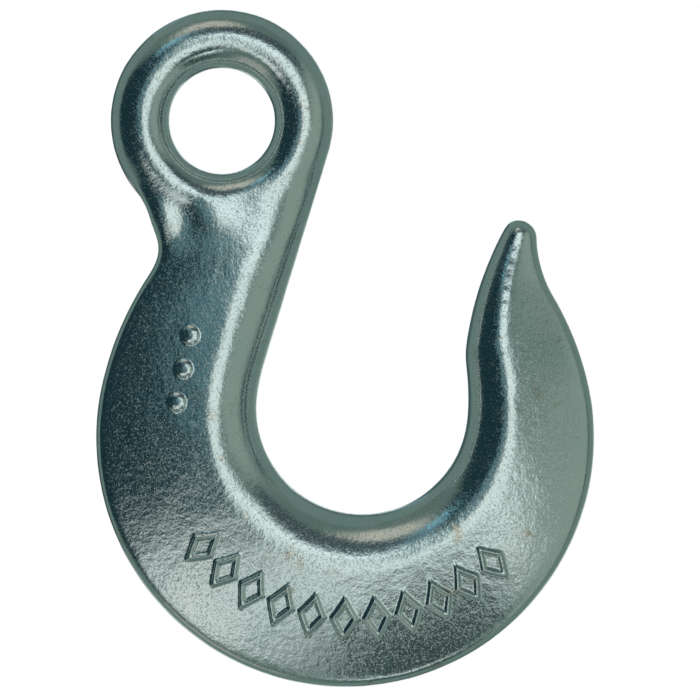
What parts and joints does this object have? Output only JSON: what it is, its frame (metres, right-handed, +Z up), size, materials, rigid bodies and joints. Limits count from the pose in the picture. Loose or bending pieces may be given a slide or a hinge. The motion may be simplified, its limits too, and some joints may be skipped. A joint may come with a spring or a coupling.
{
  "type": "eye slip hook",
  "caption": "One-piece forged steel chain hook: round eye with rolled rim, tapered shank, deep round bowl with thick inner saddle, and open throat under a blunt tip.",
  "frame": {"origin": "centre of the eye, on the die-parting plane", "axes": "+Z up along the shank out of the bowl, +X towards the side the tip is on, -Y out of the face with the raised marks"},
  "size_m": [0.0896, 0.0164, 0.1219],
  "materials": {
    "zinc_plated_steel": "bright zinc plating over the fine pitted skin of a drop forging"
  },
  "bodies": {
    "root": {"forged_hook": "zinc_plated_steel"}
  },
  "joints": []
}
